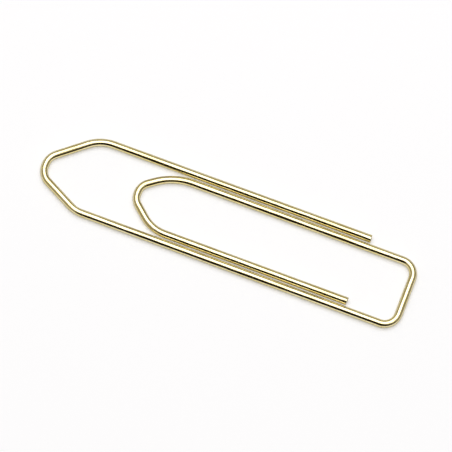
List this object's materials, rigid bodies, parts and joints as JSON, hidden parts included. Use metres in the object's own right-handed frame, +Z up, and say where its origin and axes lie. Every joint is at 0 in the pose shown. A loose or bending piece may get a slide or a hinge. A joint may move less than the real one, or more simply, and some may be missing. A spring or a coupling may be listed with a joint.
{
  "type": "paper clip",
  "caption": "Pointed paper clip of brass-coloured round wire: a long outer loop with a square end and a nested inner loop that springs up to grip sheets.",
  "frame": {"origin": "middle of the clip's outline on the surface it lies on", "axes": "+X along the clip from its pointed end to its square end, +Y towards the outer free leg, +Z up from the surface"},
  "size_m": [0.05, 0.011, 0.001],
  "materials": {
    "brass_wire": "bright pale brass plating on drawn steel wire, with bare cut ends"
  },
  "bodies": {
    "outer_loop": {"outer_loop": "brass_wire"},
    "outer_free_leg": {"outer_free_leg": "brass_wire"},
    "inner_loop": {"inner_loop": "brass_wire"},
    "inner_free_leg": {"inner_free_leg": "brass_wire"}
  },
  "joints": [
    {"name": "inner_loop_lift", "type": "hinge", "parent": "outer_loop", "child": "inner_loop", "pos_m": [0.0245, -0.0006, 0.0005], "axis": [0, 1, 0], "range_deg": [0, 8], "stiffness_Nm_per_rad": 0.4},
    {"name": "outer_leg_lift", "type": "hinge", "parent": "outer_loop", "child": "outer_free_leg", "pos_m": [-0.0245, -0.0006, 0.0005], "axis": [0, -1, 0], "range_deg": [0, 6], "stiffness_Nm_per_rad": 0.42},
    {"name": "inner_leg_lift", "type": "hinge", "parent": "inner_loop", "child": "inner_free_leg", "pos_m": [-0.0121, 0.0001, 0.0005], "axis": [0, -1, 0], "range_deg": [0, 6], "stiffness_Nm_per_rad": 0.56}
  ]
}
